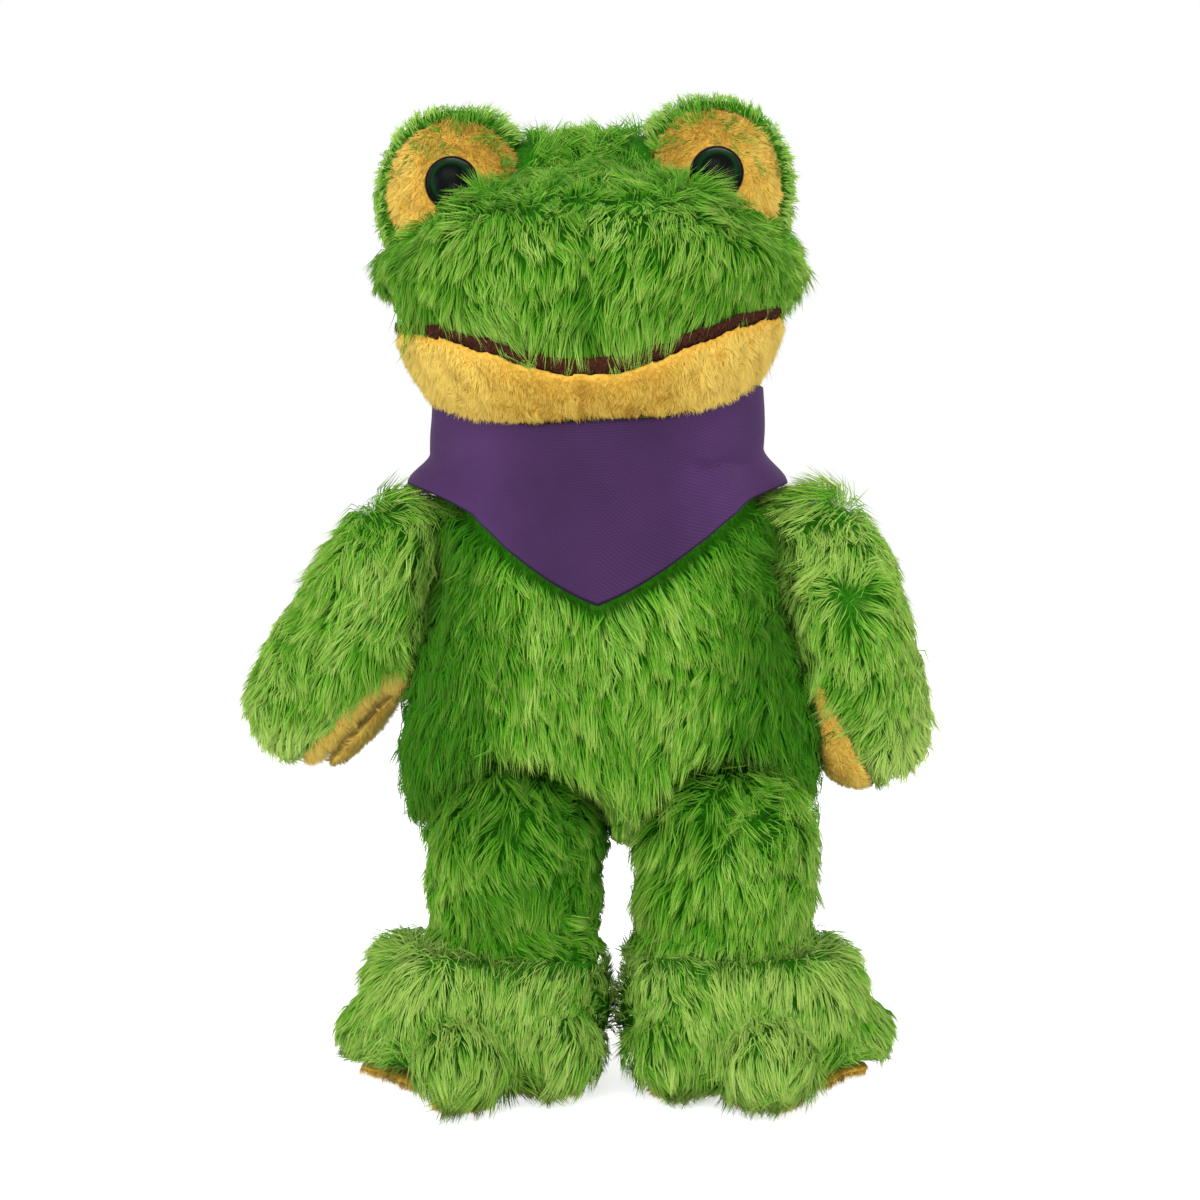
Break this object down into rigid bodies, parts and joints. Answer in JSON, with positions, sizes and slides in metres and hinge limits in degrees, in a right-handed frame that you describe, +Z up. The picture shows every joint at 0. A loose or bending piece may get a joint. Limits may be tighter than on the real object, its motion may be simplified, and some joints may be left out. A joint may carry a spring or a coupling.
{
  "type": "plush frog",
  "caption": "Long-pile plush frog that stands on wide toed feet: its head turns and nods, its arms swing, its legs fold forward to sit, and it wears a plain neck bandana.",
  "frame": {"origin": "middle of the toy's outline in plan, on the floor", "axes": "the face looks along -Y, +Z is up and +X is the toy's own left side"},
  "size_m": [0.286, 0.1768, 0.3953],
  "materials": {
    "green_pile": "long combed pile, matt",
    "gold_pile": "short dense pile, matt",
    "brown_lining": "short pile, matt",
    "bandana_cloth": "plain knitted cloth, slight sheen",
    "stuffing": "loose polyester fibre",
    "eye_clear": "polished",
    "eye_black": "polished",
    "washer_plastic": "as moulded"
  },
  "bodies": {
    "torso": {"torso_skin": "green_pile", "torso_stuffing": "stuffing", "bandana": "bandana_cloth", "bandana_knot": "bandana_cloth"},
    "neck": {"neck_stuffing": "stuffing"},
    "head": {"head_skin": "green_pile", "head_stuffing": "stuffing", "jaw_skin": "gold_pile", "jaw_stuffing": "stuffing", "mouth_lining": "brown_lining", "eye_mound_l": "green_pile", "eye_patch_l": "gold_pile", "eye_dome_l": "eye_clear", "eye_stem_l": "eye_black", "eye_washer_l": "washer_plastic", "eye_mound_r": "green_pile", "eye_patch_r": "gold_pile", "eye_dome_r": "eye_clear", "eye_stem_r": "eye_black", "eye_washer_r": "washer_plastic"},
    "arm_l": {"arm_skin_l": "green_pile", "palm_l": "gold_pile", "arm_stuffing_l": "stuffing"},
    "leg_l": {"leg_skin_l": "green_pile", "leg_stuffing_l": "stuffing"},
    "foot_l": {"foot_skin_l": "green_pile", "sole_l": "gold_pile", "foot_stuffing_l": "stuffing"},
    "arm_r": {"arm_skin_r": "green_pile", "palm_r": "gold_pile", "arm_stuffing_r": "stuffing"},
    "leg_r": {"leg_skin_r": "green_pile", "leg_stuffing_r": "stuffing"},
    "foot_r": {"foot_skin_r": "green_pile", "sole_r": "gold_pile", "foot_stuffing_r": "stuffing"}
  },
  "joints": [
    {"name": "neck_turn", "type": "hinge", "parent": "torso", "child": "neck", "pos_m": [0.00522, 0.00743, 0.215], "axis": [0, 0, 1], "range_deg": [-25, 25], "stiffness_Nm_per_rad": 0.8},
    {"name": "neck_nod", "type": "hinge", "parent": "neck", "child": "head", "pos_m": [0.00522, 0.00743, 0.215], "axis": [1, 0, 0], "range_deg": [-8, 8], "stiffness_Nm_per_rad": 2},
    {"name": "shoulder_l", "type": "hinge", "parent": "torso", "child": "arm_l", "pos_m": [0.08131, 0.00343, 0.202], "axis": [-0.9781, 0, -0.2079], "range_deg": [-20, 75], "stiffness_Nm_per_rad": 0.3},
    {"name": "shoulder_r", "type": "hinge", "parent": "torso", "child": "arm_r", "pos_m": [-0.06488, 0.00343, 0.202], "axis": [-0.9781, 0, 0.2079], "range_deg": [-20, 75], "stiffness_Nm_per_rad": 0.3},
    {"name": "hip_l", "type": "hinge", "parent": "torso", "child": "leg_l", "pos_m": [0.05672, -0.00057, 0.095], "axis": [-1, 0, 0], "range_deg": [-10, 85], "stiffness_Nm_per_rad": 2},
    {"name": "hip_r", "type": "hinge", "parent": "torso", "child": "leg_r", "pos_m": [-0.02928, -0.00057, 0.095], "axis": [-1, 0, 0], "range_deg": [-10, 85], "stiffness_Nm_per_rad": 2},
    {"name": "ankle_l", "type": "hinge", "parent": "leg_l", "child": "foot_l", "pos_m": [0.05672, -0.00057, 0.056], "axis": [1, 0, 0], "range_deg": [-12, 12], "stiffness_Nm_per_rad": 2},
    {"name": "ankle_r", "type": "hinge", "parent": "leg_r", "child": "foot_r", "pos_m": [-0.02928, -0.00057, 0.056], "axis": [1, 0, 0], "range_deg": [-12, 12], "stiffness_Nm_per_rad": 2}
  ]
}
